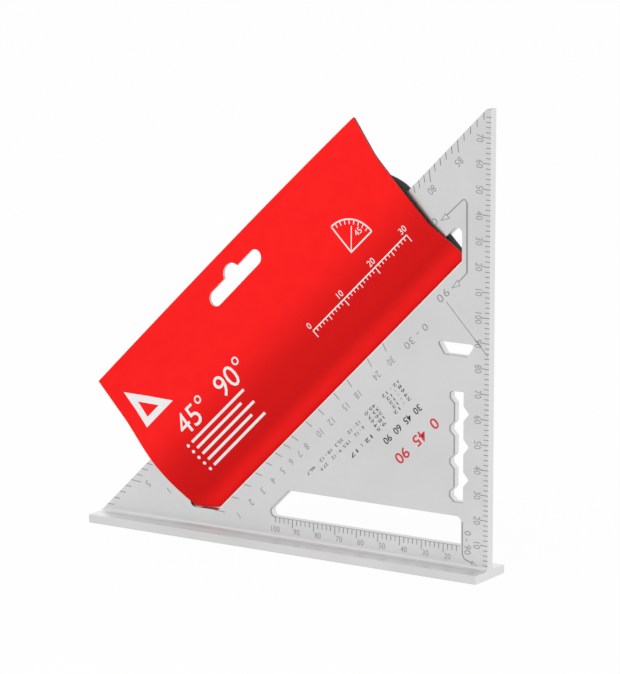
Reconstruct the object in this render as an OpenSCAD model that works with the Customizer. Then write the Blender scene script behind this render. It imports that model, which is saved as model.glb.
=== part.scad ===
// Rafter square: an aluminium triangle with a bearing fence along its foot, windows for marking and
// engraved scales, and the folded card sleeve that hangs in its long window.
// Everything is drawn from the pivot corner: x runs along the fence, z up the leg, y through the blade.

/* [Blade] */
// Length of both legs, from the pivot corner to the sharp ends of the hypotenuse
leg_length = 183; // [170:1:260]
// Thickness of the blade
blade_thickness = 4; // [3:0.25:6]
// Width of the flat across the tip
tip_flat = 2; // [1:0.5:6]

/* [Fence] */
// Width of the fence across both flanges
fence_width = 22; // [18:0.5:40]
// Thickness of the fence
fence_thickness = 3.5; // [2.5:0.25:8]
// Bevel along the edges of the fence
fence_bevel = 0.4; // [0.2:0.1:1]
// Radius of the fillet between blade and fence
root_fillet = 1.5; // [0.5:0.25:3]

/* [Long window] */
// Width of the strip between the hypotenuse and the window
strip_width = 23.6; // [18:0.2:30]
// Width of the window, square to the hypotenuse
window_width = 11.6; // [9:0.2:16]
// Distance from the leg's edge to the window's upper end
window_leg_margin = 12.4; // [10:0.2:20]
// Height of the window's lower end above the fence
window_fence_margin = 7.5; // [6:0.2:14]
// Radius of the sharp corners of the windows
sharp_corner_radius = 2.2; // [1:0.1:3]
// Radius of the blunt corners of the windows
blunt_corner_radius = 0.9; // [0.4:0.1:2]

/* [Line slot] */
// Height of the slot's lower edge above the fence
slot_rise = 8.3; // [7:0.1:12]
// Height of the slot
slot_height = 11.9; // [8:0.1:16]
// Distance from the leg's edge to the slot
slot_leg_margin = 12; // [10:0.5:20]
// Width of the web between the long window and the slot's slanted end
slot_web = 15; // [12:0.5:25]

/* [Scribing notches] */
// Number of notches, every second one on the leg's side
notch_count = 7; // [5:2:11]
// Distance from one notch to the next
notch_pitch = 6.53; // [5:0.01:8]
// Height of the lowest notch above the fence
notch_rise = 28.6; // [26:0.1:34]
// Distance from the leg's edge to the notch window
notch_leg_margin = 11.2; // [10:0.1:14]
// Width of the notch window between its straight sides
notch_window_width = 4.4; // [4.2:0.1:6]
// Depth of the pointed notches on the leg's side
point_notch_depth = 2.45; // [1:0.05:3]
// Depth of the flat notches on the far side
flat_notch_depth = 1.95; // [1:0.05:2.5]
// Half the height of a notch at its mouth
notch_half_mouth = 2.95; // [2.5:0.05:3.2]
// How much the window's upper end cuts off the topmost notch
notch_trim = 1; // [0.5:0.1:1.5]

/* [Gauge window] */
// Height of the gauge window's lower edge above the fence
gauge_rise = 83.8; // [80:0.2:95]
// Height of the gauge window
gauge_height = 5.1; // [4.6:0.1:8]
// Distance from the leg's edge to the gauge window's lower edge
gauge_leg_margin = 9.6; // [9:0.1:14]
// Length of the gauge window's lower edge
gauge_length = 10.6; // [8:0.1:16]
// How far the gauge window's ends lean out from bottom to top
gauge_lean = 3.3; // [1:0.1:5]

/* [Scales] */
// Depth of the engraved lines
line_depth = 0.15; // [0.1:0.01:0.3]
// Width of the engraved lines
line_width = 0.3; // [0.2:0.05:0.5]
// Step of the leg scale and of the slot scale
scale_step = 2; // [1:1:5]
// Length of a short line on the leg scale and the slot scale
short_line = 2; // [1:0.1:2.5]
// Length of every fifth line on the leg scale and the slot scale
long_line = 3.4; // [2.6:0.1:4.5]
// Length of a single degree's line
degree_line = 3; // [1.5:0.1:4]
// Length of every fifth degree's line
five_degree_line = 5; // [4.2:0.1:7]
// Length of a rafter scale's line
rafter_line = 3.6; // [2:0.1:5]

/* [Card sleeve] */
// Thickness of the card
card_thickness = 0.5; // [0.3:0.05:0.7]
// Gap between the card and the strip's lower edge
neck_gap = 0.35; // [0.3:0.05:0.6]
// Angle of the card's slope where it passes the strip's lower edge
neck_angle = 67; // [60:1:72]
// Outer radius of the fold
fold_radius = 0.8; // [0.75:0.05:1.2]
// Height of the fold above the window's lower edge
fold_rise = 1.3; // [0.5:0.1:3]
// Gap between the back of the blade and the back panel
back_gap = 0.3; // [0.3:0.05:1]
// Height above the hypotenuse at which the back panel starts to bend forward
back_rise = 0.6; // [0.5:0.1:2]
// Gap between the sleeve's lower corner and the window's lower end, where the sleeve rests
seat_gap = 0.35; // [0.3:0.05:1]
// Gap along the hypotenuse at the window's upper end, which lets the sleeve slide
slide_gap = 2.45; // [2.4:0.05:5]
// Height of the corner trimmed off the fold at the window's upper end
corner_trim = 2.35; // [1:0.05:4]
// How far the card reaches past the centre of the window's rounded lower corner
corner_reach = 0.9; // [0.5:0.05:1.2]
// How far the header's edge bows up between its ends
header_bow = 0.45; // [0:0.05:1]

/* [Card at its left end] */
// Height of the header's edge above the hypotenuse
left_header_rise = 38.3; // [34:0.1:42]
// Distance of the header's edge in front of the middle of the blade
left_header_set = 3; // [1:0.1:4]
// Angle at which the header leans to the front
left_header_angle = 3.3; // [0:0.1:8]
// Height of the glued band of the header
left_header_band = 19.3; // [17:0.1:22]
// Gap between the blade and the front panel where it stands out most
left_bulge_gap = 4.85; // [3.5:0.05:6]
// Distance of the panel's widest line below the hypotenuse
left_bulge_drop = 5.8; // [3:0.1:8]
// Angle at which the panel leans to the front at its widest line
left_bulge_angle = 4; // [0:0.1:6]

/* [Card at its right end] */
// Height of the header's edge above the hypotenuse
right_header_rise = 37.6; // [34:0.1:42]
// Distance of the header's edge behind the middle of the blade
right_header_set = 1.4; // [0:0.1:3]
// Angle at which the header leans to the front
right_header_angle = 16.3; // [10:0.1:18]
// Height of the glued band of the header
right_header_band = 16.8; // [15:0.1:18]
// Gap between the blade and the front panel where it stands out
right_bulge_gap = 1.75; // [1.5:0.05:4.5]
// Height of that line of the panel above the hypotenuse
right_bulge_rise = 11.5; // [9:0.1:13]
// Angle at which the panel leans to the back there
right_bulge_angle = 1; // [0:0.1:5]
// How far the right edge runs in between the strip's lower edge and the hypotenuse
right_edge_run = 0.9; // [0:0.1:3]

/* [Hang slot] */
// Length of the hang slot
hang_length = 32.4; // [24:0.2:38]
// Height of the hang slot
hang_height = 6.5; // [5:0.1:8]
// Radius of the round bay for a single hook
hang_bay_radius = 4.4; // [3.5:0.1:5]
// Height of the bay's centre above the slot's centre
hang_bay_rise = 2.3; // [1.5:0.05:3]
// Distance of the bay's centre to the left of the slot's centre
hang_bay_offset = 0.35; // [0:0.05:2]
// Distance from the header's upper edge to the slot's centre
hang_inset = 12.1; // [10:0.1:14]
// Distance of the slot's centre to the left of the middle of the card
hang_offset = 2.2; // [0:0.1:10]

/* [Glue] */
// Thickness of the glue film between the header layers
glue_thickness = 0.2; // [0.1:0.05:0.4]
// Margin of the glue film inside the card's edges and around the hang slot
glue_margin = 1.5; // [0.5:0.1:1.8]

/* [Hidden] */
$fn = 64;

arc_steps = 6;
curve_steps = 10;
band_steps = 5;
fold_steps = 8;
back_steps = 5;
follow_steps = 5;
span_steps = 10;
overlap = 1;
root2 = sqrt(2);

// The foot of the hypotenuse lands on the end of the fence
fence_length = leg_length;
tip_height = leg_length - tip_flat;

// A line at 45 degrees is given by its reach: where it meets the leg and the fence
strip_reach = leg_length - strip_width * root2;
window_reach = strip_reach - window_width * root2;
slot_reach = window_reach - slot_web * root2;
slot_top = slot_rise + slot_height;

notch_right = -notch_leg_margin;
notch_left = notch_right - notch_window_width;
notch_flat_half = notch_half_mouth - flat_notch_depth;
notch_low = notch_rise - notch_half_mouth;
notch_high = notch_rise + (notch_count - 1) * notch_pitch + notch_half_mouth - notch_trim;

gauge_right = -gauge_leg_margin;
gauge_left = gauge_right - gauge_length;
gauge_top = gauge_rise + gauge_height;

// Rafter scales: inches of rise on a foot of run, and on the 16.97 inches of a hip's run
common_run = 12;
hip_run = common_run * root2;
rafter_marks = concat([for (n = [1:8]) n], [10, 12, 15, 18, 24, 30]);

// Distances from the pivot, square to the hypotenuse
hypotenuse_far = leg_length / root2;
strip_far = strip_reach / root2;
window_far = window_reach / root2;
fold_far = window_far + fold_rise;
hang_far = hypotenuse_far + left_header_rise - hang_inset;

blade_front = -blade_thickness / 2;
blade_back = blade_thickness / 2;

// Places along the hypotenuse, counted from the pivot's own distance line
lower_corner = root2 * (window_fence_margin + sharp_corner_radius) - strip_far + sharp_corner_radius;
card_left = lower_corner - corner_reach;
card_right = fold_far + corner_trim - root2 * window_leg_margin - slide_gap;
hang_along = (card_left + card_right) / 2 - hang_offset;

// The card is ruled between its two ends: each pair holds a value at the left and one at the right.
// Its outer line is seen along the hypotenuse: each point is [y, distance from the pivot].
header_far = [hypotenuse_far + left_header_rise, hypotenuse_far + right_header_rise];
header_y = [-left_header_set, right_header_set];
header_angle = [left_header_angle, right_header_angle];
header_band = [left_header_band, right_header_band];
bulge = [
    [blade_front - left_bulge_gap - card_thickness, hypotenuse_far - left_bulge_drop],
    [blade_front - right_bulge_gap - card_thickness, hypotenuse_far + right_bulge_rise]
];
bulge_angle = [left_bulge_angle, -right_bulge_angle];

// The back layer leaves the front one at this share of the way from the header's foot to the bulge
leave_share = [0.15, 1.04];
leave_angle = [90, 38];

// How far each bend of the card runs on in the direction of its end before it turns
header_ease = [6.8, 3];
rise_ease = [8.6, 3.9];
fall_ease = [8.6, 18.5];
leave_ease = [7, 2.5];
over_ease = [8, 4];
neck_ease = 3;
fold_ease = 2;

neck_run = toward(-neck_angle);
neck = [blade_front, strip_far] - (neck_gap + card_thickness) * [-neck_run.y, neck_run.x];
fold_middle = [blade_back + back_gap + card_thickness - fold_radius, fold_far + fold_radius];
fold_angle = 213;
fold_start = fold_middle + fold_radius * toward(fold_angle);
fold_end = fold_middle + [fold_radius, 0];
back_top = [fold_end.x, hypotenuse_far + back_rise];
pile = 2 * card_thickness + glue_thickness;

// Shares of the way from the card's left end to its right end, with one at each end of the glue film
glue_share = glue_margin / (card_right - card_left);
glue_stations = concat([glue_share], [for (j = [1:span_steps - 1]) j / span_steps], [1 - glue_share]);
card_stations = concat([0], glue_stations, [1]);

function unit(v) = v / norm(v);

function toward(angle) = [cos(angle), sin(angle)];

function between(pair, share) = pair[0] + (pair[1] - pair[0]) * share;

// A cubic curve from a to d with handles at b and c, without its first point
function curve(a, b, c, d) = [
    for (i = [1:curve_steps])
        let (t = i / curve_steps, u = 1 - t)
        u * u * u * a + 3 * u * u * t * b + 3 * u * t * t * c + t * t * t * d
];

// The direction at a line's point i that leads to the inside of the sleeve
function inward(line, i) =
    let (run = unit(line[min(i + 1, len(line) - 1)] - line[max(i - 1, 0)]))
    [-run.y, run.x];

// The point under a line at a position counted in its points, which may lie between two of them
function under(line, position, depth) =
    let (i = min(floor(position), len(line) - 2), share = position - i)
    between([line[i], line[i + 1]], share) + depth * between([inward(line, i), inward(line, i + 1)], share);

// How far below the header's edge its points lie, with one at each edge of the glue film
function band_marks(band) = concat(
    [0],
    [for (i = [0:band_steps - 2]) between([glue_margin, band - glue_margin], i / (band_steps - 2))],
    [band]
);

// The outer line of the front panel, from the header's edge to the strip's lower edge
function front_line(t) =
    let (
        top_far = between(header_far, pow(t, 4)) + header_bow * 4 * t * (1 - t),
        top = [between(header_y, t), top_far],
        down = -toward(90 - between(header_angle, t)),
        band = between(header_band, t),
        foot = top + band * down,
        widest = between(bulge, t),
        belly = toward(90 + between(bulge_angle, t))
    )
    concat(
        [for (mark = band_marks(band)) top + mark * down],
        curve(foot, foot + between(header_ease, t) * down, widest + between(rise_ease, t) * belly, widest),
        curve(widest, widest - between(fall_ease, t) * belly, neck - neck_ease * neck_run, neck)
    );

// The back layer's outer line under the front one, up to the header's edge
function layer_line(t, front) = concat(
    [
        for (i = [follow_steps:-1:1])
            under(front, band_steps + between(leave_share, t) * curve_steps * i / follow_steps, pile)
    ],
    [for (i = [band_steps:-1:0]) under(front, i, pile)]
);

// The outer line from the strip's lower edge round the fold, up the back and on along the back layer
function back_line(t, layer) =
    let (
        fold_handle = fold_start - fold_ease * toward(fold_angle + 90),
        leave_handle = layer[0] + between(leave_ease, t) * toward(-between(leave_angle, t))
    )
    concat(
        curve(neck, neck + neck_ease * neck_run, fold_handle, fold_start),
        [
            for (i = [1:fold_steps])
                fold_middle + fold_radius * toward(between([fold_angle, 360], i / fold_steps))
        ],
        [for (i = [1:back_steps]) between([fold_end, back_top], i / back_steps)],
        curve(back_top, back_top + [0, between(over_ease, t)], leave_handle, layer[0]),
        [for (i = [1:len(layer) - 1]) layer[i]]
    );

function card_line(t) =
    let (front = front_line(t))
    concat(front, back_line(t, layer_line(t, front)));

function glue_line(t) =
    let (front = front_line(t))
    [for (i = [1:band_steps - 1]) front[i]];

// The place along the hypotenuse, inside the window's two ends where the card passes through it
function along(far, t) =
    let (
        left = max(card_left, root2 * (window_fence_margin + seat_gap) - far),
        run_in = right_edge_run * max(0, min(1, (far - strip_far) / strip_width)),
        right = min(card_right - run_in, far - root2 * window_leg_margin - slide_gap)
    )
    between([left, right], t);

// The point at a depth under a line's point i, as [along, y, far]
function sunk(line, i, depth, t) =
    let (point = line[i] + depth * inward(line, i))
    [along(line[i].y, t), point.x, point.y];

// The section of a sheet between two depths: along its outer face and back along its inner one
function section(line, outer, inner, t) =
    let (last = len(line) - 1)
    concat(
        [for (i = [0:last]) sunk(line, i, outer, t)],
        [for (i = [last:-1:0]) sunk(line, i, inner, t)]
    );

// The arc that rounds the corner at b between a and c
function corner_arc(a, b, c, radius) =
    let (
        u = unit(a - b),
        v = unit(c - b),
        half = acos(u * v) / 2,
        centre = b + unit(u + v) * radius / sin(half),
        from = b + u * radius / tan(half) - centre,
        turn = (180 - 2 * half) * sign(u.y * v.x - u.x * v.y)
    )
    [
        for (i = [0:arc_steps])
            let (a = turn * i / arc_steps)
            centre + [from.x * cos(a) - from.y * sin(a), from.x * sin(a) + from.y * cos(a)]
    ];

// A polygon with each corner rounded to its own radius
function rounded(points, radii) =
    let (n = len(points))
    [
        for (i = [0:n - 1])
            each corner_arc(points[(i + n - 1) % n], points[i], points[(i + 1) % n], radii[i])
    ];

// A point on the ray from the pivot at an angle above the fence, shifted sideways
function on_ray(angle, distance, side) = [
    -distance * cos(angle) + side * sin(angle),
    distance * sin(angle) + side * cos(angle)
];

// How far along its ray a line of the given reach is met
function ray_to(angle, reach) = reach / (cos(angle) + sin(angle));

// Four points of an engraved line along a ray, from one distance to another and back
function ray_line(angle, from, to) = [
    on_ray(angle, from, -line_width / 2),
    on_ray(angle, to, -line_width / 2),
    on_ray(angle, to, line_width / 2),
    on_ray(angle, from, line_width / 2)
];

module in_blade_plane(thickness) {
    rotate([90, 0, 0])
        linear_extrude(height = thickness, center = true)
            children();
}

module through_blade() {
    in_blade_plane(blade_thickness + 2 * overlap) children();
}

module engraved() {
    for (face = [blade_front, blade_back])
        translate([0, face, 0])
            in_blade_plane(2 * line_depth) children();
}

module blade_outline() {
    polygon([
        [0, -fence_thickness / 2],
        [0, tip_height],
        [-tip_flat, tip_height],
        [-leg_length, 0],
        [-leg_length, -fence_thickness / 2]
    ]);
}

module long_window() {
    upper = -window_leg_margin;
    lower = window_fence_margin;
    polygon(rounded(
        [
            [upper, strip_reach + upper],
            [upper, window_reach + upper],
            [lower - window_reach, lower],
            [lower - strip_reach, lower]
        ],
        [sharp_corner_radius, blunt_corner_radius, blunt_corner_radius, sharp_corner_radius]
    ));
}

module line_slot() {
    right = -slot_leg_margin;
    polygon(rounded(
        [
            [right, slot_rise],
            [slot_rise - slot_reach, slot_rise],
            [slot_top - slot_reach, slot_top],
            [right, slot_top]
        ],
        [blunt_corner_radius, sharp_corner_radius, blunt_corner_radius, sharp_corner_radius]
    ));
}

module scribing_notches() {
    function notch_z(i) = notch_rise + i * notch_pitch;
    last = notch_count - 1;
    deep = notch_left - flat_notch_depth;
    polygon(concat(
        [[notch_right, notch_low]],
        [
            for (i = [1:2:last - 1])
                each [
                    [notch_right, notch_z(i) - notch_half_mouth],
                    [notch_right + point_notch_depth, notch_z(i)],
                    [notch_right, notch_z(i) + notch_half_mouth]
                ]
        ],
        [[notch_right, notch_high], [notch_left - notch_trim, notch_high]],
        [
            for (i = [last:-2:0])
                each [
                    if (i < last) [notch_left, notch_z(i) + notch_half_mouth],
                    [deep, notch_z(i) + notch_flat_half],
                    [deep, notch_z(i) - notch_flat_half],
                    [notch_left, notch_z(i) - notch_half_mouth]
                ]
        ]
    ));
}

module gauge_window() {
    polygon(rounded(
        [
            [gauge_right, gauge_rise],
            [gauge_left, gauge_rise],
            [gauge_left - gauge_lean, gauge_top],
            [gauge_right + gauge_lean, gauge_top]
        ],
        [blunt_corner_radius, blunt_corner_radius, blunt_corner_radius, blunt_corner_radius]
    ));
}

// Lines up the leg's edge
module leg_scale() {
    last = floor((tip_height - scale_step) / scale_step);
    polygon(concat(
        [[2 * overlap, 0]],
        [
            for (i = [1:last])
                let (z = i * scale_step, length = i % 5 == 0 ? long_line : short_line)
                each [
                    [overlap, z - line_width / 2],
                    [-length, z - line_width / 2],
                    [-length, z + line_width / 2],
                    [overlap, z + line_width / 2]
                ]
        ],
        [[2 * overlap, tip_height]]
    ));
}

// Lines under the lower edge of the line slot, counted from the leg's edge
module slot_scale() {
    first = ceil((slot_leg_margin + scale_step) / scale_step);
    last = floor((slot_reach - slot_rise - 2 * sharp_corner_radius) / scale_step);
    polygon(concat(
        [[-first * scale_step + overlap, slot_rise + 2 * overlap]],
        [
            for (i = [first:last])
                let (x = -i * scale_step, length = i % 5 == 0 ? long_line : short_line)
                each [
                    [x + line_width / 2, slot_rise + overlap],
                    [x + line_width / 2, slot_rise - length],
                    [x - line_width / 2, slot_rise - length],
                    [x - line_width / 2, slot_rise + overlap]
                ]
        ],
        [[-last * scale_step - overlap, slot_rise + 2 * overlap]]
    ));
}

// One line for each degree from the fence, along the hypotenuse
module degree_scale() {
    outer = leg_length + overlap;
    polygon(concat(
        [
            for (d = [1:89])
                let (length = d % 5 == 0 ? five_degree_line : degree_line)
                each ray_line(d, ray_to(d, outer), ray_to(d, leg_length) - length)
        ],
        [for (d = [89, 1]) on_ray(d, ray_to(d, outer + overlap), 0)]
    ));
}

// Hip and valley rafter lines, below the long window
module hip_scale() {
    inside = window_reach + overlap;
    angles = [for (n = rafter_marks) atan(n / hip_run)];
    last = angles[len(angles) - 1];
    polygon(concat(
        [
            for (a = angles)
                each ray_line(a, ray_to(a, inside), ray_to(a, window_reach) - rafter_line)
        ],
        [for (a = [last, angles[0]]) on_ray(a, ray_to(a, inside + overlap), 0)]
    ));
}

// Common rafter lines, above the long window
module common_scale() {
    inside = strip_reach - overlap;
    angles = [for (n = rafter_marks) atan(n / common_run)];
    last = angles[len(angles) - 1];
    polygon(concat(
        [
            for (a = angles)
                each ray_line(a, ray_to(a, inside), ray_to(a, strip_reach) + rafter_line)
        ],
        [for (a = [last, angles[0]]) on_ray(a, ray_to(a, inside - overlap), 0)]
    ));
}

// Fence, root fillets and the foot of the blade, seen along the fence
module fence_section() {
    half = fence_width / 2;
    low = -fence_thickness;
    function side(sign) = concat(
        [
            [sign * (half - fence_bevel), low],
            [sign * half, low + fence_bevel],
            [sign * half, -fence_bevel],
            [sign * (half - fence_bevel), 0]
        ],
        [
            for (i = [0:arc_steps])
                let (a = 90 * i / arc_steps)
                [
                    sign * (blade_back + root_fillet - root_fillet * sin(a)),
                    root_fillet - root_fillet * cos(a)
                ]
        ]
    );
    left = side(-1);
    polygon(concat(side(1), [for (i = [len(left) - 1:-1:0]) left[i]]));
}

module square_body() {
    color("silver")
        difference() {
            union() {
                in_blade_plane(blade_thickness) blade_outline();
                intersection() {
                    translate([-fence_length, 0, 0])
                        rotate([90, 0, 90])
                            linear_extrude(height = fence_length) fence_section();
                    in_blade_plane(fence_width + overlap) fence_limit();
                }
            }
            through_blade() long_window();
            through_blade() line_slot();
            through_blade() scribing_notches();
            through_blade() gauge_window();
            engraved() leg_scale();
            engraved() slot_scale();
            engraved() degree_scale();
            engraved() hip_scale();
            engraved() common_scale();
        }
}

// Keeps the root fillets under the slope of the hypotenuse
module fence_limit() {
    polygon([
        [overlap, -fence_thickness - overlap],
        [overlap, root_fillet + overlap],
        [root_fillet + overlap - leg_length, root_fillet + overlap],
        [-leg_length, 0],
        [-leg_length - overlap, -overlap],
        [-leg_length - overlap, -fence_thickness - overlap]
    ]);
}

// Carries a shape drawn along x at its distance z from the pivot to its place on the strip
module on_strip() {
    rotate([0, -45, 0]) children();
}

// A sheet through a row of sections that all have the same number of points. Its small faces are halves
// of squares, split along one diagonal or the other, so that two sheets can meet face to face.
module ruled(sections, other_diagonal) {
    count = len(sections[0]);
    last = len(sections) - 1;
    function index(j, i) = j * count + i % count;
    function square_of(a, b, c, d) = other_diagonal ? [[a, b, d], [b, c, d]] : [[a, b, c], [a, c, d]];
    function end_square(j, i) = [for (k = [i, i + 1, count - i - 2, count - i - 1]) index(j, k)];
    sides = [
        for (j = [0:last - 1], i = [0:count - 1])
            each square_of(index(j, i), index(j + 1, i), index(j + 1, i + 1), index(j, i + 1))
    ];
    ends = [
        for (i = [0:count / 2 - 2])
            let (near = end_square(0, i), far = end_square(last, i))
            each concat(
                square_of(near[0], near[1], near[2], near[3]),
                square_of(far[3], far[2], far[1], far[0])
            )
    ];
    polyhedron([for (section = sections) each section], concat(sides, ends));
}

// The hang slot with a margin all round
module hang_slot(margin) {
    reach = hang_length / 2 - hang_height / 2;
    radius = hang_height / 2 + margin;
    translate([hang_along, 0, hang_far])
        in_blade_plane(fence_width) {
            for (end = [-reach, reach])
                translate([end, 0]) circle(radius);
            square([2 * reach, 2 * radius], center = true);
            translate([-hang_bay_offset, hang_bay_rise]) circle(hang_bay_radius + margin);
        }
}

module sleeve_card() {
    color("red")
        on_strip()
            difference() {
                ruled([for (t = card_stations) section(card_line(t), 0, card_thickness, t)], false);
                hang_slot(0);
            }
}

module header_glue() {
    depth = card_thickness + glue_thickness;
    color("ivory")
        on_strip()
            difference() {
                ruled([for (t = glue_stations) section(glue_line(t), card_thickness, depth, t)], true);
                hang_slot(glue_margin);
            }
}

module in_place() {
    translate([fence_length / 2, 0, fence_thickness]) children();
}

in_place() square_body();
in_place() sleeve_card();
in_place() header_glue();
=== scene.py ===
import math

import bmesh
import bpy
from mathutils import Matrix, Vector


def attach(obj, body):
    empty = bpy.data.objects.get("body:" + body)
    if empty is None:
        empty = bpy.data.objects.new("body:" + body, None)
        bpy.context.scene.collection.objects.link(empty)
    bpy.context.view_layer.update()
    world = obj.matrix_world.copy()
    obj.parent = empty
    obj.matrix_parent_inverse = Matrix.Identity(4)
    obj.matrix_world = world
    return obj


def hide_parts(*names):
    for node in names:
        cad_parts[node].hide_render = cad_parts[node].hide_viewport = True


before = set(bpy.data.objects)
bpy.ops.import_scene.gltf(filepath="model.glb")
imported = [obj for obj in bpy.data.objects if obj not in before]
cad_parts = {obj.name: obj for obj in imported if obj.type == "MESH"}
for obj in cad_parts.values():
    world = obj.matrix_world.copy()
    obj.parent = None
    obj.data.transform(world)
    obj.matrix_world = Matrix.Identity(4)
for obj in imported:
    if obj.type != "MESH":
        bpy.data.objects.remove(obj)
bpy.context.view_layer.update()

# Sizes are in millimetres and angles in degrees, drawn from the pivot corner as in the part
MM = 0.001
ROOT2 = math.sqrt(2)
PIVOT = Vector((91.5, 0, 3.5))
BLADE_FACE = 2.0
CARD_THICKNESS = 0.5
GLUE_THICKNESS = 0.2
GLUE_MARGIN = 1.5
SMOOTH_ANGLE = 35.0


def at(x, y, z):
    """A point of the pivot's frame, in the row's frame."""
    return (PIVOT + Vector((x, y, z))) * MM


def from_strip(along, far):
    """The pivot frame's x and z of a place given along and across the hypotenuse."""
    return Vector(((along - far) / ROOT2, (along + far) / ROOT2))


def on_strip(along, y, far):
    """A point given by its place along the hypotenuse and its distance from the pivot across it."""
    x, z = from_strip(along, far)
    return at(x, y, z)


# Materials


def new_material(name, color, roughness, metallic=0.0):
    material = bpy.data.materials.new(name)
    material.use_nodes = True
    shader = material.node_tree.nodes["Principled BSDF"]
    shader.inputs["Base Color"].default_value = (*color, 1)
    shader.inputs["Roughness"].default_value = roughness
    shader.inputs["Metallic"].default_value = metallic
    return material, material.node_tree, shader


def add_node(tree, kind, inputs=(), **settings):
    node = tree.nodes.new(kind)
    for name, value in settings.items():
        setattr(node, name, value)
    for name, value in dict(inputs).items():
        if isinstance(value, bpy.types.NodeSocket):
            tree.links.new(value, node.inputs[name])
        else:
            node.inputs[name].default_value = value
    return node


def noise(tree, size, detail=4.0):
    """A noise whose grains are about as many millimetres wide as size says."""
    coords = add_node(tree, "ShaderNodeTexCoord")
    inputs = {"Vector": coords.outputs["Object"], "Scale": 1 / (size * MM), "Detail": detail}
    return add_node(tree, "ShaderNodeTexNoise", inputs).outputs["Fac"]


def ranged(tree, value, low, high):
    """Carries the middle part of a noise to the range from low to high."""
    inputs = {"Value": value, "From Min": 0.3, "From Max": 0.7, "To Min": low, "To Max": high}
    return add_node(tree, "ShaderNodeMapRange", inputs).outputs["Result"]


def math_node(tree, operation, first, second=0.0):
    node = add_node(tree, "ShaderNodeMath", {0: first, 1: second}, operation=operation)
    return node.outputs["Value"]


def mixed(tree, factor, first, second):
    """A mix of two colours. Sockets 0, 6 and 7 of the node are its factor and its two colours."""
    inputs = {0: factor, 6: first, 7: second}
    return add_node(tree, "ShaderNodeMix", inputs, data_type="RGBA").outputs[2]


def grey(value):
    return (value, value, value, 1)


def add_bump(tree, shader, height, strength, distance):
    inputs = {"Height": height, "Strength": strength, "Distance": distance * MM}
    bump = add_node(tree, "ShaderNodeBump", inputs)
    tree.links.new(bump.outputs["Normal"], shader.inputs["Normal"])


# Limits of the metal's zones of painted light and shade and of its dark grooves: two shares of a face's
# normal along an axis, then lengths
ASIDE = 0.5
STRAIGHT = 0.9
NEAR_FENCE = 0.5
NEAR_LEG_EDGE = 0.5
SHADED_RIM_PLANE = -0.9
GROOVE_PLANE = 1.93


def aluminium():
    """Satin metal with painted light and shade: painted highlights on the side walls above the fence, on
    the fence's top and on the leg's edge, painted shade on the walls' front part at the windows' rims, and
    dark in the grooves.
    """
    material, tree, shader = new_material("satin_aluminium", (0.6, 0.6, 0.6), roughness=0.42, metallic=1.0)
    cloud = ranged(tree, noise(tree, size=30.0), low=0.0, high=1.0)
    metal = mixed(tree, cloud, grey(0.66), grey(0.70))
    coords = add_node(tree, "ShaderNodeTexCoord").outputs["Object"]
    place = add_node(tree, "ShaderNodeSeparateXYZ", {"Vector": coords}).outputs
    normal = add_node(tree, "ShaderNodeNewGeometry").outputs["True Normal"]
    facing = add_node(tree, "ShaderNodeSeparateXYZ", {"Vector": normal}).outputs
    depth = math_node(tree, "ABSOLUTE", place["Y"])
    turned = math_node(tree, "ABSOLUTE", facing["Y"])
    fence_limit = (PIVOT.z + NEAR_FENCE) * MM
    edge_limit = (PIVOT.x - NEAR_LEG_EDGE) * MM
    wall = ("LESS_THAN", turned, ASIDE)
    above_fence = ("GREATER_THAN", place["Z"], fence_limit)
    rim = ("LESS_THAN", place["Y"], SHADED_RIM_PLANE * MM)
    lit_fence_top = ("LESS_THAN", place["Z"], fence_limit)
    lit_leg_edge = ("GREATER_THAN", place["X"], edge_limit)
    groove = ("LESS_THAN", depth, GROOVE_PLANE * MM)
    zones = (
        # Painted highlight on the blade's side walls above the fence
        (0.78, wall, above_fence),
        # Painted shade on the front part of those walls, at the windows' rims
        (0.36, wall, above_fence, rim),
        # Painted highlight on the fence's upward faces
        (0.94, ("GREATER_THAN", facing["Z"], STRAIGHT), lit_fence_top),
        # Painted highlight on the leg's right edge, standing in for light from the right
        (0.80, ("GREATER_THAN", facing["X"], STRAIGHT), lit_leg_edge),
        (0.29, ("GREATER_THAN", turned, STRAIGHT), groove),
    )
    for shade, *conditions in zones:
        inside = 1.0
        for condition in conditions:
            inside = math_node(tree, "MULTIPLY", inside, math_node(tree, *condition))
        metal = mixed(tree, inside, metal, grey(shade))
    tree.links.new(metal, shader.inputs["Base Color"])
    sheen = ranged(tree, noise(tree, size=1.2), low=0.32, high=0.40)
    tree.links.new(sheen, shader.inputs["Roughness"])
    shader.inputs["Specular Tint"].default_value = grey(0.8)
    grain = noise(tree, size=0.25, detail=3.0)
    add_bump(tree, shader, grain, strength=0.12, distance=0.02)
    return material


def strip_fade(tree, start, end):
    """Goes softly from 0 to 1 between two distances from the pivot, across the hypotenuse."""
    place = add_node(tree, "ShaderNodeTexCoord").outputs["Object"]
    axes = add_node(tree, "ShaderNodeSeparateXYZ", {"Vector": place}).outputs
    across = math_node(tree, "SUBTRACT", axes["Z"], axes["X"])
    low, high = ((far * ROOT2 + PIVOT.z - PIVOT.x) * MM for far in (start, end))
    inputs = {"Value": across, "From Min": low, "From Max": high}
    fade = add_node(tree, "ShaderNodeMapRange", inputs, interpolation_type="SMOOTHSTEP")
    return fade.outputs["Result"]


# Painted shade: the card's front is a deeper red between these distances from the pivot, across the
# hypotenuse, fading in over each pair
SHADE_BAND_FOOT = (97.0, 104.5)
SHADE_BAND_HEAD = (136.0, 112.0)


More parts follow.
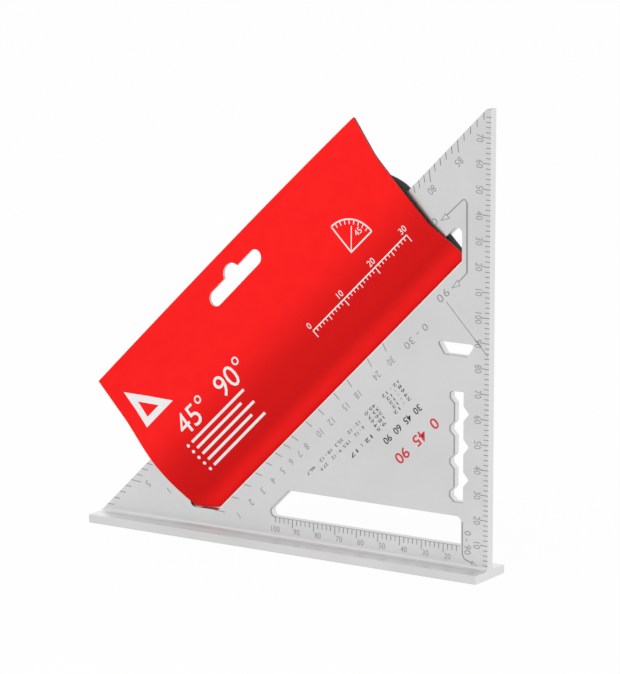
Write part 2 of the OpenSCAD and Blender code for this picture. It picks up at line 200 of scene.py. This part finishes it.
def card_print():
    """Red print on card under a dull lacquer, with painted shade on its front: a deeper red in a soft band
    above the fold.
    """
    material, tree, shader = new_material("red_card", (0.92, 0.008, 0.008), roughness=0.45)
    cloud = ranged(tree, noise(tree, size=6.0), low=0.0, high=1.0)
    red = mixed(tree, cloud, (0.91, 0.008, 0.008, 1), (0.95, 0.011, 0.010, 1))
    normal = add_node(tree, "ShaderNodeNewGeometry").outputs["Normal"]
    turned = add_node(tree, "ShaderNodeSeparateXYZ", {"Vector": normal}).outputs["Y"]
    front = math_node(tree, "LESS_THAN", turned, 0.0)
    foot, head = (strip_fade(tree, *limits) for limits in (SHADE_BAND_FOOT, SHADE_BAND_HEAD))
    # Painted shade: the band of deeper red, on the front faces only
    band = math_node(tree, "MULTIPLY", foot, head)
    band = math_node(tree, "MULTIPLY", band, front)
    tree.links.new(mixed(tree, band, red, (0.64, 0.004, 0.004, 1)), shader.inputs["Base Color"])
    sheen = ranged(tree, noise(tree, size=1.5), low=0.40, high=0.50)
    tree.links.new(sheen, shader.inputs["Roughness"])
    shader.inputs["Specular IOR Level"].default_value = 0.1
    add_bump(tree, shader, noise(tree, size=0.6), strength=0.10, distance=0.02)
    return material


def board(name, dark, light):
    """Bare paper board between two shades, with fibres."""
    material, tree, shader = new_material(name, dark, roughness=0.8)
    fibres = ranged(tree, noise(tree, size=0.8, detail=6.0), low=0.0, high=1.0)
    tree.links.new(mixed(tree, fibres, (*dark, 1), (*light, 1)), shader.inputs["Base Color"])
    sheen = ranged(tree, noise(tree, size=2.0), low=0.72, high=0.88)
    tree.links.new(sheen, shader.inputs["Roughness"])
    add_bump(tree, shader, fibres, strength=0.2, distance=0.03)
    return material


def ink(name, color, roughness):
    """A printed colour that is a little uneven."""
    material, tree, shader = new_material(name, color, roughness)
    thin = tuple(channel * 0.9 + 0.01 for channel in color)
    cover = ranged(tree, noise(tree, size=0.5), low=0.0, high=1.0)
    tree.links.new(mixed(tree, cover, (*thin, 1), (*color, 1)), shader.inputs["Base Color"])
    spread = 0.06
    sheen = ranged(tree, noise(tree, size=1.0), roughness - spread, roughness + spread)
    tree.links.new(sheen, shader.inputs["Roughness"])
    return material


ALUMINIUM = aluminium()
RED_CARD = card_print()
CARD_INSIDE = board("card_inside", (0.085, 0.090, 0.088), (0.115, 0.120, 0.118))
CARD_EDGE = board("card_edge", (0.10, 0.075, 0.068), (0.17, 0.13, 0.12))
CARD_CORE = board("card_core", (0.84, 0.82, 0.81), (0.90, 0.89, 0.88))
GLUE = board("dried_glue", (0.70, 0.67, 0.58), (0.78, 0.75, 0.66))
MARK_INK = ink("mark_fill", (0.30, 0.30, 0.30), 0.6)
WHITE_INK = ink("white_print", (0.86, 0.86, 0.86), 0.45)
BLACK_INK = ink("black_print", (0.02, 0.02, 0.02), 0.5)
RED_INK = ink("red_print", (0.62, 0.015, 0.02), 0.5)


# Meshes


def make_piece(name, mesh, materials, body):
    """Turns a bmesh into a piece of the part that rides on a body."""
    data = bpy.data.meshes.new(name)
    mesh.to_mesh(data)
    mesh.free()
    for material in materials:
        data.materials.append(material)
    data.shade_smooth()
    data.set_sharp_from_angle(angle=math.radians(SMOOTH_ANGLE))
    piece = bpy.data.objects.new(name, data)
    bpy.context.scene.collection.objects.link(piece)
    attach(piece, body)
    return piece


# Height of the font's digits in its own units
DIGIT_HEIGHT = 0.7


def glyphs(text, spacing, weight):
    """The flat shape of a text as points and faces, with digits one unit tall about the origin."""
    letters = bpy.data.curves.new("glyphs", "FONT")
    letters.body = text
    letters.space_character = spacing
    letters.offset = weight
    letters.resolution_u = 3
    holder = bpy.data.objects.new("glyphs", letters)
    bpy.context.scene.collection.objects.link(holder)
    bpy.context.view_layer.update()
    shape = holder.evaluated_get(bpy.context.evaluated_depsgraph_get()).to_mesh()
    points = [Vector(vertex.co[:2]) for vertex in shape.vertices]
    faces = [list(polygon.vertices) for polygon in shape.polygons]
    bpy.data.objects.remove(holder)
    bpy.data.curves.remove(letters)
    left, right = min(p.x for p in points), max(p.x for p in points)
    middle = Vector(((left + right) / 2, DIGIT_HEIGHT / 2))
    return [(p - middle) / DIGIT_HEIGHT for p in points], faces


def label(text, middle, angle, height, squeeze=1.0, spacing=1.0, weight=0.0, mirrored=False):
    """The flat shape of a text on a place, turned by an angle, with its width times squeeze."""
    points, faces = glyphs(text, spacing, weight)
    turn = Matrix.Rotation(math.radians(angle), 2)
    side = -squeeze if mirrored else squeeze
    return [Vector(middle) + turn @ Vector((p.x * side, p.y)) * height for p in points], faces


MITRE_LIMIT = 0.3


def stroke(points, width):
    """The flat shape of a line with mitred corners through the points."""
    points = [Vector(p) for p in points]
    shape = []
    for i, point in enumerate(points):
        before = (point - points[max(i - 1, 0)]).normalized()
        after = (points[min(i + 1, len(points) - 1)] - point).normalized()
        run = (before + after).normalized()
        across = Vector((-run.y, run.x))
        reach = width / 2 / max(MITRE_LIMIT, run.dot(after if after.length else before))
        shape += [point + across * reach, point - across * reach]
    faces = [(2 * i, 2 * i + 1, 2 * i + 3, 2 * i + 2) for i in range(len(points) - 1)]
    return shape, faces


def arc(middle, radius, start, end, steps=32):
    """Points on a circle from one angle to another."""
    angles = [math.radians(start + (end - start) * i / steps) for i in range(steps + 1)]
    return [Vector(middle) + radius * Vector((math.cos(a), math.sin(a))) for a in angles]


def filled(points):
    """The flat shape inside a ring of points."""
    return list(points), [list(range(len(points)))]


def disc(middle, radius):
    return filled(arc(middle, radius, 0, 360, 24)[:-1])


def slice_flat(mesh, axis, step):
    """Cuts flat faces at even steps along an axis, so that they can follow a curved face."""
    low = min(v.co[axis] for v in mesh.verts)
    high = max(v.co[axis] for v in mesh.verts)
    normal = Vector((0, 0, 0))
    normal[axis] = 1
    for i in range(1, int((high - low) / step) + 1):
        everything = mesh.verts[:] + mesh.edges[:] + mesh.faces[:]
        place = normal * (low + i * step)
        bmesh.ops.bisect_plane(mesh, geom=everything, plane_co=place, plane_no=normal)


def film(name, shapes, place, material, body, slice_steps=()):
    """A thin closed film of flat shapes. place carries a flat point of layer 0 or 1 to the row."""
    mesh = bmesh.new()
    for points, faces in shapes:
        corners = [mesh.verts.new((p[0], p[1], 0)) for p in points]
        for face in faces:
            mesh.faces.new([corners[i] for i in face])
    for axis, step in enumerate(slice_steps):
        slice_flat(mesh, axis, step)
    raised = bmesh.ops.extrude_face_region(mesh, geom=mesh.faces[:], use_keep_orig=True)["geom"]
    for item in raised:
        if isinstance(item, bmesh.types.BMVert):
            item.co.z = 1
    for vertex in mesh.verts:
        vertex.co = place(*vertex.co)
    bmesh.ops.recalc_face_normals(mesh, faces=mesh.faces[:])
    return make_piece(name, mesh, [material], body)


# The card sleeve: one sheet, ruled between the outer lines of its left and its right end

LEFT_END = {
    "top": Vector((-3.5, 167.7)),
    "lean": 3.3,
    "band": 19.3,
    "header_ease": 6.8,
    "bulge": Vector((-7.35, 123.6)),
    "bulge_lean": 4.0,
    "rise_ease": 8.6,
    "fall_ease": 8.6,
    "join": 16.1,
    "leave_slope": 90.0,
    "leave_ease": 7.0,
    "back_ease": 8.0,
}
RIGHT_END = {
    "top": Vector((1.4, 167.0)),
    "lean": 16.3,
    "band": 16.8,
    "header_ease": 3.0,
    "bulge": Vector((-4.25, 140.9)),
    "bulge_lean": -1.0,
    "rise_ease": 3.9,
    "fall_ease": 18.5,
    "join": 28.6,
    "leave_slope": 38.0,
    "leave_ease": 2.5,
    "back_ease": 4.0,
}
HEADER_BOW = 0.45
NECK = Vector((-2.78, 105.47))
NECK_SLOPE = 67.0
NECK_EASE = 3.0
FOLD_MIDDLE = Vector((2.0, 96.3))
FOLD_RADIUS = 0.8
FOLD_START = 213.0
FOLD_EASE = 2.0
BACK_TOP = Vector((2.8, 130.0))
CARD_LEFT = -91.05
CARD_RIGHT = 77.85
WINDOW_FOOT = 11.1
WINDOW_END = 20.0
STRIP_EDGE = 105.8
RIGHT_EDGE_RUN = 1.35
RIGHT_EDGE_RISE = 8.0
CURVE_STEPS = 14
CARD_STATIONS = 48


def between(first, second, share):
    return first + (second - first) * share


def curve(a, b, c, d):
    """Points of a cubic curve from a to d with handles at b and c, without its first point."""
    points = []
    for i in range(1, CURVE_STEPS + 1):
        t = i / CURVE_STEPS
        u = 1 - t
        points.append(u * u * u * a + 3 * u * u * t * b + 3 * u * t * t * c + t * t * t * d)
    return points


def direction(angle):
    return Vector((math.cos(math.radians(angle)), math.sin(math.radians(angle))))


def right_edge(far):
    """Where the right edge lies along the hypotenuse: it runs in above the strip's lower edge."""
    share = min(max((far - STRIP_EDGE) / RIGHT_EDGE_RISE, 0.0), 1.0)
    return CARD_RIGHT - RIGHT_EDGE_RUN * share


def card_values(t):
    """The sheet's values at a share t of the way to its right end. Its top edge bows up on the way."""
    values = {name: between(LEFT_END[name], RIGHT_END[name], t) for name in LEFT_END}
    bow = HEADER_BOW * 4 * t * (1 - t)
    values["top"].y = between(LEFT_END["top"].y, RIGHT_END["top"].y, t ** 4) + bow
    return values


def front_line(t):
    """The front panel's outer line from the header's edge to the strip's lower edge, as (y, far)."""
    v = card_values(t)
    down = -direction(90 - v["lean"])
    foot = v["top"] + v["band"] * down
    belly = direction(90 + v["bulge_lean"])
    run = direction(-NECK_SLOPE)
    line = [v["top"].lerp(foot, i / CURVE_STEPS) for i in range(CURVE_STEPS + 1)]
    bulge = v["bulge"]
    line += curve(foot, foot + v["header_ease"] * down, bulge + v["rise_ease"] * belly, bulge)
    line += curve(bulge, bulge - v["fall_ease"] * belly, NECK - NECK_EASE * run, NECK)
    return line


def inward(line, i):
    """The direction at a line's point i that leads to the inside of the sleeve."""
    run = (line[min(i + 1, len(line) - 1)] - line[max(i - 1, 0)]).normalized()
    return Vector((-run.y, run.x))


def under(line, position, depth):
    """The point under a line at a position counted in its points, which may lie between two of them."""
    i = min(int(position), len(line) - 2)
    share = position - i
    into = inward(line, i).lerp(inward(line, i + 1), share)
    return line[i].lerp(line[i + 1], share) + depth * into


def back_line(t):
    """The outer line from the strip's lower edge through the window, round the fold and up again."""
    v = card_values(t)
    front = front_line(t)
    pile = 2 * CARD_THICKNESS + GLUE_THICKNESS
    layer = [under(front, v["join"] * i / CURVE_STEPS, pile) for i in range(CURVE_STEPS, -1, -1)]
    fold = FOLD_MIDDLE + FOLD_RADIUS * direction(FOLD_START)
    fold_run = direction(FOLD_START + 90)
    back_foot = FOLD_MIDDLE + Vector((FOLD_RADIUS, 0))
    leave = layer[0] + v["leave_ease"] * direction(-v["leave_slope"])
    line = curve(NECK, NECK + NECK_EASE * direction(-NECK_SLOPE), fold - FOLD_EASE * fold_run, fold)
    line += arc(FOLD_MIDDLE, FOLD_RADIUS, FOLD_START, 360, CURVE_STEPS)[1:]
    line += [back_foot.lerp(BACK_TOP, i / CURVE_STEPS) for i in range(1, CURVE_STEPS + 1)]
    line += curve(BACK_TOP, BACK_TOP + Vector((0, v["back_ease"])), leave, layer[0])
    return line + layer[1:]


def sheet_mesh(lines, left_ends, right_ends, outer_depth, inner_depth, printed_points=0):
    """A closed sheet between two depths under its outer lines. Materials: 0 outside, 1 inside, 2 edges.
    The outside's print goes round the side edges of the first points of each line."""
    mesh = bmesh.new()
    layers = []
    for depth in (outer_depth, inner_depth):
        layer = []
        for j, line in enumerate(lines):
            t = j / (len(lines) - 1)
            row = []
            for i, point in enumerate(line):
                place = point + depth * inward(line, i)
                along = between(left_ends[i], right_ends[i], t)
                row.append(mesh.verts.new(on_strip(along, place.x, place.y)))
            layer.append(row)
        layers.append(layer)
    outer, inner = layers
    stations, count = len(lines), len(lines[0])
    for j in range(stations - 1):
        for i in range(count - 1):
            k = i + 1
            mesh.faces.new([outer[j][i], outer[j][k], outer[j + 1][k], outer[j + 1][i]])
            back = mesh.faces.new([inner[j][i], inner[j + 1][i], inner[j + 1][k], inner[j][k]])
            back.material_index = 1
    rims = [[row[end] for row in layer] for end in (0, -1) for layer in layers]
    sides = [layer[end] for end in (0, -1) for layer in layers]
    for edges, printed in ((rims, 0), (sides, printed_points)):
        for first, second in (edges[:2], edges[2:]):
            for k in range(len(first) - 1):
                rim = mesh.faces.new([first[k], first[k + 1], second[k + 1], second[k]])
                rim.material_index = 0 if k < printed else 2
    bmesh.ops.recalc_face_normals(mesh, faces=mesh.faces[:])
    return mesh


HANG_MIDDLE = Vector((-8.66, 155.6))
HANG_LENGTH = 32.4
HANG_HEIGHT = 6.5
HANG_BAY_RADIUS = 4.4
HANG_BAY_RISE = 2.3
HANG_BAY_OFFSET = -0.35
HANG_CUT = (-14.0, 10.0)
HANG_STEPS = 16


def hang_outline(margin):
    """The outline of the hang slot, along the hypotenuse and away from the pivot."""
    reach = HANG_LENGTH / 2 - HANG_HEIGHT / 2
    radius = HANG_HEIGHT / 2 + margin
    bay = HANG_BAY_RADIUS + margin
    meet = math.degrees(math.asin((radius - HANG_BAY_RISE) / bay))
    outline = arc((-reach, 0), radius, 90, 270, HANG_STEPS)
    outline += arc((reach, 0), radius, -90, 90, HANG_STEPS)
    outline += arc((HANG_BAY_OFFSET, HANG_BAY_RISE), bay, meet, 180 - meet, HANG_STEPS)
    return [HANG_MIDDLE + point for point in outline]


def hang_cutter(margin, material):
    """A block with the hang slot's outline that goes through both layers of the header."""
    mesh = bmesh.new()
    outline = hang_outline(margin)
    ends = [[mesh.verts.new(on_strip(p.x, y, p.y)) for p in outline] for y in HANG_CUT]
    count = len(ends[0])
    mesh.faces.new(ends[0])
    mesh.faces.new(ends[1][::-1])
    for i in range(count):
        k = (i + 1) % count
        mesh.faces.new([ends[0][i], ends[1][i], ends[1][k], ends[0][k]])
    bmesh.ops.recalc_face_normals(mesh, faces=mesh.faces[:])
    data = bpy.data.meshes.new("hang_cutter")
    mesh.to_mesh(data)
    mesh.free()
    data.materials.append(material)
    cutter = bpy.data.objects.new("hang_cutter", data)
    bpy.context.scene.collection.objects.link(cutter)
    return cutter


def cut_hang_slot(piece, margin, material):
    """Cuts the hang slot through a piece, with a material on the cut's faces."""
    cutter = hang_cutter(margin, material)
    cut = piece.modifiers.new("hang_slot", "BOOLEAN")
    cut.object = cutter
    cut.solver = "EXACT"
    cut.material_mode = "TRANSFER"
    bpy.context.view_layer.update()
    evaluated = piece.evaluated_get(bpy.context.evaluated_depsgraph_get())
    data = bpy.data.meshes.new_from_object(evaluated)
    piece.modifiers.remove(cut)
    piece.data = data
    bpy.data.objects.remove(cutter)
    data.set_sharp_from_angle(angle=math.radians(SMOOTH_ANGLE))


card_shares = [j / CARD_STATIONS for j in range(CARD_STATIONS + 1)]
card_lines = [front_line(t) + back_line(t) for t in card_shares]
card_left = [max(CARD_LEFT, WINDOW_FOOT - point.y) for point in card_lines[0]]
card_right = [min(right_edge(point.y), point.y - WINDOW_END) for point in card_lines[-1]]
FRONT_POINTS = 3 * CURVE_STEPS
card_mesh = sheet_mesh(card_lines, card_left, card_right, 0.0, CARD_THICKNESS, FRONT_POINTS)
card_materials = [RED_CARD, CARD_INSIDE, CARD_EDGE]
sleeve = make_piece("sleeve_sheet", card_mesh, card_materials, "sleeve")
cut_hang_slot(sleeve, 0.0, CARD_CORE)
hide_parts("sleeve_card")

# The points of the header that the glue covers, clear of both edges
GLUE_SPAN = slice(2, CURVE_STEPS - 1)
glue_lines = [line[GLUE_SPAN] for line in card_lines]
glue_left = [place + GLUE_MARGIN for place in card_left[GLUE_SPAN]]
glue_right = [place - GLUE_MARGIN for place in card_right[GLUE_SPAN]]
GLUE_FLOOR = CARD_THICKNESS + GLUE_THICKNESS
glue_mesh = sheet_mesh(glue_lines, glue_left, glue_right, CARD_THICKNESS, GLUE_FLOOR)
glue = make_piece("header_film", glue_mesh, [GLUE, GLUE, GLUE], "sleeve")
cut_hang_slot(glue, GLUE_MARGIN, GLUE)
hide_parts("header_glue")


# The square keeps its mesh from CAD and takes the metal's material

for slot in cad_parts["square_body"].material_slots:
    slot.material = ALUMINIUM


# Numbers and leader lines on the blade's two faces

MARK_DEPTH = 0.01
MARK_LIFT = 0.02
READS_ALONG = 0
READS_DOWN = -90
READS_BACK = 225
COMMON_RUN = 12
HIP_RUN = COMMON_RUN * ROOT2
RAFTER_RISES = (1, 2, 3, 4, 5, 6, 7, 8, 10, 12, 15, 18, 24, 30)
LEG_RISES = range(10, 171, 10)
LEG_RESTART = 100
SLOT_NUMBERS = range(20, 101, 10)
DEGREES = range(5, 90, 5)
HIP_ROW = 86.6
COMMON_ROW = 114.5
DEGREE_ROW = 122.8
LEG_COLUMN = -4.8
LEG_NUMBER_DROP = 0.3
SLOT_ROW = 3.6
SLOT_NUMBER_SHIFT = 1.95
LEADER_FINE = 0.35
LEADER_THIN = 0.5
LEADER_WIDE = 0.8
ARROW_LINE = 0.3
FRONT = -1
BACK = 1


def on_ray(angle, far):
    """Where the ray from the pivot, at an angle above the fence, meets a row along the hypotenuse."""
    return from_strip(far * math.tan(math.radians(angle - 45)), far)


def rise_angle(rise, run):
    return math.degrees(math.atan(rise / run))


def scale_numbers(mirrored):
    """The numbers of the leg, the slot, the two rafter scales and the degree scale, and their ranges."""
    shapes = []

    def add(text, place, angle, height, squeeze, spacing=1.0):
        shapes.append(label(str(text), place, angle, height, squeeze, spacing, mirrored=mirrored))

    for rise in LEG_RISES:
        number = rise if rise <= LEG_RESTART else rise - LEG_RESTART
        add(number, (LEG_COLUMN, rise - LEG_NUMBER_DROP), READS_DOWN, height=3.0, squeeze=0.82)
    for number in SLOT_NUMBERS:
        add(number, (SLOT_NUMBER_SHIFT - number, SLOT_ROW), READS_ALONG, height=2.3, squeeze=0.95)
    for run, far in ((HIP_RUN, HIP_ROW), (COMMON_RUN, COMMON_ROW)):
        for rise in RAFTER_RISES:
            add(rise, on_ray(rise_angle(rise, run), far), READS_BACK, height=2.9, squeeze=0.9)
    for angle in DEGREES:
        add(angle, on_ray(angle, DEGREE_ROW), READS_BACK, height=3.0, squeeze=0.9)
    for middle, far in ((40, 86.4), (72.5, 113.2)):
        place = from_strip(middle, far)
        add("0 - 30", place, READS_BACK, height=2.9, squeeze=1.3, spacing=1.1)
    add("90", from_strip(60.9, 90.2), READS_BACK, height=3.2, squeeze=1.3, spacing=1.2)
    add("0 - 90", (-8.9, 10.2), READS_DOWN, height=3.0, squeeze=0.95)
    return shapes


def arrowhead(tip, first, second):
    """A hollow triangle."""
    return stroke([tip, first, second, tip], ARROW_LINE)


def leader_lines():
    """The lines and arrowheads that lead from the scales to the places they belong to."""
    bend = [(-12.1, 145.2), (-11.1, 145.2), (-10.3, 144.0)]
    turn = (-10.1, 116.8)
    return [
        stroke([(-19.3, 138.4)] + bend, LEADER_THIN),
        stroke([bend[-1], turn], LEADER_WIDE),
        stroke([turn, (-13.8, 112.9)], LEADER_THIN),
        arrowhead((-21.9, 136.1), (-19.9, 139.0), (-18.1, 137.4)),
        arrowhead((-16.8, 110.2), (-14.3, 113.6), (-13.2, 111.6)),
        stroke([(-19.2, 104.5), (-0.5, 85.0)], LEADER_FINE),
        stroke([(-11.4, 18.2), (-11.3, 5.2), (-10.4, 3.5), (-6.9, 2.3)], LEADER_THIN),
        arrowhead((-4.4, 1.1), (-6.9, 3.2), (-6.9, 1.4)),
    ]


def on_blade(side):
    """Carries flat points to the blade's front or back face."""

    def place(x, z, layer):
        return at(x, side * (BLADE_FACE + between(-MARK_DEPTH, MARK_LIFT, layer)), z)

    return place


for face, side in (("front", FRONT), ("back", BACK)):
    numbers = scale_numbers(mirrored=side == BACK)
    film("numbers_" + face, numbers, on_blade(side), MARK_INK, "square")
    film("leaders_" + face, leader_lines(), on_blade(side), MARK_INK, "square")


# A printed table of rises and angles on the blade's front face


def table_line(rise, run):
    return "{} : {}    {:.1f}".format(rise, COMMON_RUN, rise_angle(rise, run))


def wide_label(text, start, end, far, height, weight=0.0):
    """A text that reads back along the hypotenuse, drawn out to fill the way from start to end."""
    points, _ = glyphs(text, 1.0, weight)
    width = (max(p.x for p in points) - min(p.x for p in points)) * height
    middle = from_strip((start + end) / 2, far)
    return label(text, middle, READS_BACK, height, (end - start) / width, weight=weight)


BOLD = 0.012
SMALL = 1.3
TABLE_TOP = 70.8
TABLE_PITCH = 2
red_line = wide_label("0  45  90", start=-1.8, end=23.9, far=56.6, height=4.4, weight=BOLD)
film("angles_red", [red_line], on_blade(FRONT), RED_INK, "square")
black_lines = [wide_label("30  45  60  90", start=-1.1, end=22.0, far=65.4, height=2.8, weight=BOLD)]
for row, rise in enumerate((2, 4, 6, 8, 12)):
    text = table_line(rise, COMMON_RUN)
    black_lines.append(wide_label(text, -0.5, 21.0, TABLE_TOP + TABLE_PITCH * row, SMALL))
black_lines.append(wide_label("12 : 17", start=-17.6, end=-3.9, far=TABLE_TOP, height=1.6, weight=BOLD))
for rises, start, end, far in (((6, 9), -32.5, -4.3, 75.7), ((12, 18), -38.9, -4.4, 78.4)):
    text = "  ".join(table_line(rise, HIP_RUN) for rise in rises)
    black_lines.append(wide_label(text, start, end, far, SMALL))
film("angle_table", black_lines, on_blade(FRONT), BLACK_INK, "square")


# White print on the card's front: a triangle, angles, bars, a protractor and a ruler

PRINT_DEPTH = 0.01
PRINT_LIFT = 0.04
PRINT_STEPS = (3.0, 1.5)
SIGN_NUMBER = 2.6
SIGN_LINE = 0.6
SIGN_TICK = 0.4
RULER_LINE = 0.5
RULER_STEP = 2
DOT_RADIUS = 0.7
BAR_WIDTH = 1.1
BAR_PITCH = 3.1
BAR_START = 2.5
BAR_END = 37.0
BAR_SHORTER = 5.0


def card_front(along, far):
    """Where the front panel's outer face lies in y, at a place along the hypotenuse and across it."""
    line = front_line((along - CARD_LEFT) / (right_edge(far) - CARD_LEFT))
    for upper, lower in zip(line, line[1:]):
        if lower.y <= far <= upper.y:
            return between(upper.x, lower.x, (upper.y - far) / (upper.y - lower.y))
    raise ValueError("the place is not on the front panel")


def on_card(along, far, layer):
    return on_strip(along, card_front(along, far) - between(-PRINT_DEPTH, PRINT_LIFT, layer), far)


def triangle_sign(left, low, size):
    """A set square: a triangle with a smaller triangle left open."""
    near, wide = 0.17, 0.6
    corners = ((0, 0), (1, 0), (0, 1), (near, near), (wide, near), (near, wide))
    points = [Vector((left, low)) + Vector(corner) * size for corner in corners]
    return points, [(i, (i + 1) % 3, (i + 1) % 3 + 3, i + 3) for i in range(3)]


def bar_list(left, top, rows):
    """Plain bars behind dots, one under the other, with every second bar shorter."""
    shapes = []
    for row in range(rows):
        low = top - BAR_PITCH * row
        end = left + BAR_END - BAR_SHORTER * (row % 2)
        shapes.append(disc((left, low), DOT_RADIUS))
        shapes.append(stroke([(left + BAR_START, low), (end, low)], BAR_WIDTH))
    return shapes


def ruler_sign(left, low, length, height):
    """A ruled line with ticks, longer at each fifth and tenth, and a number at each tenth."""
    shapes = [stroke([(left, low), (left + length, low)], RULER_LINE)]
    for i in range(int(length / RULER_STEP) + 1):
        place = left + RULER_STEP * i
        reach = height * (1.0 if i % 10 == 0 else 0.7 if i % 5 == 0 else 0.45)
        shapes.append(stroke([(place, low), (place, low - reach)], SIGN_TICK))
        if i % 10 == 0:
            shapes.append(label(str(i), (place, low + SIGN_NUMBER), READS_ALONG, SIGN_NUMBER))
    return shapes


def protractor_sign(middle, radius):
    """A quarter circle with ticks, a ray at its middle and a number."""
    corner = Vector(middle)
    sides = [corner + Vector((0, radius)), corner, corner + Vector((radius, 0))]
    shapes = [stroke(sides, SIGN_LINE), stroke(arc(middle, radius, 0, 90), SIGN_LINE)]
    for angle in range(0, 91, 10):
        ray = direction(angle)
        shapes.append(stroke([corner + ray * radius * 0.85, corner + ray * radius], SIGN_TICK))
    shapes.append(stroke([corner, corner + direction(45) * radius * 0.8], SIGN_TICK))
    number_place = corner + Vector((0.62, 0.3)) * radius
    shapes.append(label("45", number_place, READS_ALONG, SIGN_NUMBER))
    return shapes


card_signs = [triangle_sign(left=-84, low=138.5, size=18)]
card_signs.append(label("45°  90°", (-50, 128), READS_ALONG, height=9.0))
card_signs += bar_list(left=-73, top=120.5, rows=5)
card_signs += protractor_sign(middle=(42, 128), radius=13)
card_signs += ruler_sign(left=6, low=117, length=60, height=3.2)
film("card_signs", card_signs, on_card, WHITE_INK, "sleeve", slice_steps=PRINT_STEPS)


# The floor, the light and the camera


def seen_rays(tree):
    """1 for the rays that show a surface to the camera or in a reflection."""
    path = add_node(tree, "ShaderNodeLightPath")
    seen = math_node(tree, "MAXIMUM", path.outputs["Is Camera Ray"], path.outputs["Is Glossy Ray"])
    return math_node(tree, "MAXIMUM", seen, path.outputs["Is Transmission Ray"])


# Places and sizes of the floor and the lamps are in metres
FLOOR_GLOW = 0.96
FLOOR_SIZE = 6.0
SURROUND_LIGHT = 0.7
LIT_PLACE = Vector((0, 0, 0.09))


def make_floor():
    """A pale floor that shows nearly white and still takes the part's shadow."""
    material, tree, shader = new_material("pale_floor", (0.9, 0.9, 0.9), roughness=0.9)
    cloud = ranged(tree, noise(tree, size=400.0), low=0.0, high=1.0)
    tree.links.new(mixed(tree, cloud, grey(0.89), grey(0.91)), shader.inputs["Base Color"])
    glow = add_node(tree, "ShaderNodeEmission", {"Color": (1, 1, 1, 1), "Strength": 1.0})
    share = math_node(tree, "MULTIPLY", seen_rays(tree), FLOOR_GLOW)
    blend = add_node(tree, "ShaderNodeMixShader", {"Fac": share})
    tree.links.new(shader.outputs["BSDF"], blend.inputs[1])
    tree.links.new(glow.outputs["Emission"], blend.inputs[2])
    tree.links.new(blend.outputs["Shader"], tree.nodes["Material Output"].inputs["Surface"])
    mesh = bmesh.new()
    bmesh.ops.create_grid(mesh, x_segments=1, y_segments=1, size=FLOOR_SIZE)
    data = bpy.data.meshes.new("floor")
    mesh.to_mesh(data)
    mesh.free()
    data.materials.append(material)
    floor = bpy.data.objects.new("floor", data)
    bpy.context.scene.collection.objects.link(floor)


def make_world():
    """A white surround for what is seen and reflected, which gives a softer light."""
    world = bpy.data.worlds.new("studio")
    world.use_nodes = True
    bpy.context.scene.world = world
    tree = world.node_tree
    inputs = {"Value": seen_rays(tree), "To Min": SURROUND_LIGHT, "To Max": 1.0}
    strength = add_node(tree, "ShaderNodeMapRange", inputs).outputs["Result"]
    surround = tree.nodes["Background"]
    surround.inputs["Color"].default_value = (1, 1, 1, 1)
    tree.links.new(strength, surround.inputs["Strength"])


def make_lamp(name, place, size, power):
    """A soft lamp that shows in no reflection, so that the metal mirrors the surround alone."""
    data = bpy.data.lights.new(name, "AREA")
    data.shape = "DISK"
    data.size = size
    data.energy = power
    lamp = bpy.data.objects.new(name, data)
    lamp.location = place
    lamp.rotation_euler = (LIT_PLACE - Vector(place)).to_track_quat("-Z", "Y").to_euler()
    lamp.visible_glossy = False
    bpy.context.scene.collection.objects.link(lamp)


CAMERA_AZIMUTH = 32.709
CAMERA_ELEVATION = 11.769
CAMERA_DISTANCE = 1760.771
CAMERA_TARGET = Vector((8.529, 0, 86.677))
CAMERA_LENS = 259.37
CAMERA_SENSOR = 36.0


def make_camera():
    level = direction(CAMERA_ELEVATION)
    side = direction(CAMERA_AZIMUTH - 90)
    outward = Vector((side.x * level.x, side.y * level.x, level.y))
    data = bpy.data.cameras.new("camera")
    data.sensor_fit = "HORIZONTAL"
    data.sensor_width = CAMERA_SENSOR
    data.lens = CAMERA_LENS
    camera = bpy.data.objects.new("camera", data)
    camera.location = (CAMERA_TARGET + outward * CAMERA_DISTANCE) * MM
    camera.rotation_euler = (-outward).to_track_quat("-Z", "Y").to_euler()
    bpy.context.scene.collection.objects.link(camera)
    bpy.context.scene.camera = camera


make_floor()
make_world()
make_lamp("key", place=(-0.6, -1.5, 1.5), size=2.0, power=13)
make_lamp("low_fill", place=(1.0, -1.3, 0.2), size=1.0, power=5)
make_camera()
bpy.context.scene.view_settings.view_transform = "Standard"
